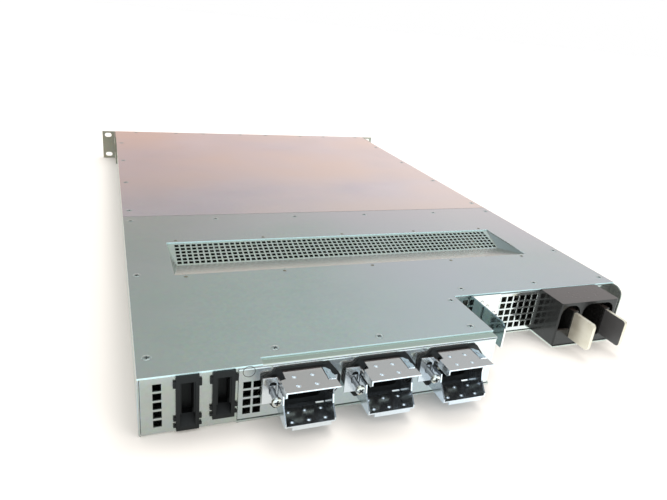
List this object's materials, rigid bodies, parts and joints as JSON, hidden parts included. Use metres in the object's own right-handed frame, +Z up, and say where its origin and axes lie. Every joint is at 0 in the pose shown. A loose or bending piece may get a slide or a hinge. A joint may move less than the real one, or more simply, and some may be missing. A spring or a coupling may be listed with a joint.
{
  "type": "rack power shelf",
  "caption": "Low rack-mount power shelf with mains inlets and cord clamps, hooded DC blades, a sunken perforated top vent and plug-in rectifiers at the front.",
  "frame": {"origin": "centre of the underside of the base, midway between the side walls and between the rear and front edges of the body", "axes": "+X to the right as seen from the rear, +Y from the rear connectors to the front modules, +Z up"},
  "size_m": [0.4826, 0.7382, 0.0443],
  "materials": {
    "galvanised_sheet": "zinc-coated steel sheet, soft sheen",
    "polished_sheet": "zinc-coated steel sheet, mirror-like",
    "clamp_sheet": "bright zinc plate",
    "zinc_fasteners": "bright zinc plate",
    "tinned_copper": "warm tin plate, satin",
    "black_gloss_moulding": "glossy",
    "black_moulding": "matt",
    "lever_moulding": "matt",
    "brass_contacts": "plated, satin",
    "circuit_board": "green solder mask"
  },
  "bodies": {
    "shelf": {"chassis_tray": "galvanised_sheet", "rear_cover": "galvanised_sheet", "front_cover": "galvanised_sheet", "vent_grille": "galvanised_sheet", "rack_ear_left": "galvanised_sheet", "rack_ear_right": "galvanised_sheet", "cover_crossbar": "galvanised_sheet", "bay_divider_1": "galvanised_sheet", "bay_divider_2": "galvanised_sheet", "bay_divider_3": "galvanised_sheet", "inlet_panel": "polished_sheet", "output_panel": "polished_sheet", "cable_guard": "polished_sheet", "output_shroud": "black_gloss_moulding", "busbar_negative": "tinned_copper", "busbar_positive": "tinned_copper", "busbar_support": "black_moulding", "inlet_pins": "brass_contacts", "inlet_screws": "zinc_fasteners", "backplane_board": "circuit_board", "backplane_headers": "black_moulding", "input_board": "circuit_board", "board_standoffs": "zinc_fasteners", "cover_screws": "zinc_fasteners", "rivets": "zinc_fasteners", "signal_socket_1": "black_moulding", "signal_socket_2": "black_moulding", "ac_inlet_1": "black_moulding", "cord_clamp_channel_1": "clamp_sheet", "ac_inlet_2": "black_moulding", "cord_clamp_channel_2": "clamp_sheet", "ac_inlet_3": "black_moulding", "cord_clamp_channel_3": "clamp_sheet"},
    "clamp_jaw_1": {"cord_clamp_jaw_1": "clamp_sheet"},
    "clamp_jaw_2": {"cord_clamp_jaw_2": "clamp_sheet"},
    "clamp_jaw_3": {"cord_clamp_jaw_3": "clamp_sheet"},
    "clamp_screw_1": {"clamp_screw_1": "zinc_fasteners"},
    "clamp_screw_2": {"clamp_screw_2": "zinc_fasteners"},
    "clamp_screw_3": {"clamp_screw_3": "zinc_fasteners"},
    "rectifier_1": {"rectifier_1_case": "galvanised_sheet", "rectifier_1_face": "galvanised_sheet", "rectifier_1_fan_frame": "black_moulding", "rectifier_1_board": "circuit_board"},
    "rectifier_1_fan": {"rectifier_1_fan_rotor": "black_moulding"},
    "rectifier_1_lever": {"rectifier_1_lever": "lever_moulding"},
    "rectifier_2": {"rectifier_2_case": "galvanised_sheet", "rectifier_2_face": "galvanised_sheet", "rectifier_2_fan_frame": "black_moulding", "rectifier_2_board": "circuit_board"},
    "rectifier_2_fan": {"rectifier_2_fan_rotor": "black_moulding"},
    "rectifier_2_lever": {"rectifier_2_lever": "lever_moulding"},
    "rectifier_3": {"rectifier_3_case": "galvanised_sheet", "rectifier_3_face": "galvanised_sheet", "rectifier_3_fan_frame": "black_moulding", "rectifier_3_board": "circuit_board"},
    "rectifier_3_fan": {"rectifier_3_fan_rotor": "black_moulding"},
    "rectifier_3_lever": {"rectifier_3_lever": "lever_moulding"},
    "controller": {"controller_case": "galvanised_sheet", "controller_face": "galvanised_sheet"},
    "controller_lever": {"controller_lever": "lever_moulding"}
  },
  "joints": [
    {"name": "clamp_jaw_1_slide", "type": "slide", "parent": "shelf", "child": "clamp_jaw_1", "axis": [0, 0, -1], "range_m": [0, 0.005]},
    {"name": "clamp_screw_1_travel", "type": "slide", "parent": "shelf", "child": "clamp_screw_1", "axis": [0, 1, 0], "range_m": [0, 0.01]},
    {"name": "clamp_jaw_2_slide", "type": "slide", "parent": "shelf", "child": "clamp_jaw_2", "axis": [0, 0, -1], "range_m": [0, 0.005]},
    {"name": "clamp_screw_2_travel", "type": "slide", "parent": "shelf", "child": "clamp_screw_2", "axis": [0, 1, 0], "range_m": [0, 0.01]},
    {"name": "clamp_jaw_3_slide", "type": "slide", "parent": "shelf", "child": "clamp_jaw_3", "axis": [0, 0, -1], "range_m": [0, 0.005]},
    {"name": "clamp_screw_3_travel", "type": "slide", "parent": "shelf", "child": "clamp_screw_3", "axis": [0, 1, 0], "range_m": [0, 0.01]},
    {"name": "rectifier_1_slide", "type": "slide", "parent": "shelf", "child": "rectifier_1", "axis": [0, 1, 0], "range_m": [0, 0.35]},
    {"name": "rectifier_1_lever_hinge", "type": "hinge", "parent": "rectifier_1", "child": "rectifier_1_lever", "pos_m": [-0.1193, 0.356, 0.0214], "axis": [0, 0, -1], "range_deg": [0, 90]},
    {"name": "rectifier_1_fan_spin", "type": "hinge", "parent": "rectifier_1", "child": "rectifier_1_fan", "pos_m": [-0.1938, 0.342, 0.0214], "axis": [0, 1, 0], "continuous": true},
    {"name": "rectifier_2_slide", "type": "slide", "parent": "shelf", "child": "rectifier_2", "axis": [0, 1, 0], "range_m": [0, 0.35]},
    {"name": "rectifier_2_lever_hinge", "type": "hinge", "parent": "rectifier_2", "child": "rectifier_2_lever", "pos_m": [-0.0091, 0.356, 0.0214], "axis": [0, 0, -1], "range_deg": [0, 90]},
    {"name": "rectifier_2_fan_spin", "type": "hinge", "parent": "rectifier_2", "child": "rectifier_2_fan", "pos_m": [-0.0836, 0.342, 0.0214], "axis": [0, 1, 0], "continuous": true},
    {"name": "rectifier_3_slide", "type": "slide", "parent": "shelf", "child": "rectifier_3", "axis": [0, 1, 0], "range_m": [0, 0.35]},
    {"name": "rectifier_3_lever_hinge", "type": "hinge", "parent": "rectifier_3", "child": "rectifier_3_lever", "pos_m": [0.1011, 0.356, 0.0214], "axis": [0, 0, -1], "range_deg": [0, 90]},
    {"name": "rectifier_3_fan_spin", "type": "hinge", "parent": "rectifier_3", "child": "rectifier_3_fan", "pos_m": [0.0266, 0.342, 0.0214], "axis": [0, 1, 0], "continuous": true},
    {"name": "controller_slide", "type": "slide", "parent": "shelf", "child": "controller", "axis": [0, 1, 0], "range_m": [0, 0.35]},
    {"name": "controller_lever_hinge", "type": "hinge", "parent": "controller", "child": "controller_lever", "pos_m": [0.2113, 0.356, 0.0214], "axis": [0, 0, -1], "range_deg": [0, 90]}
  ]
}
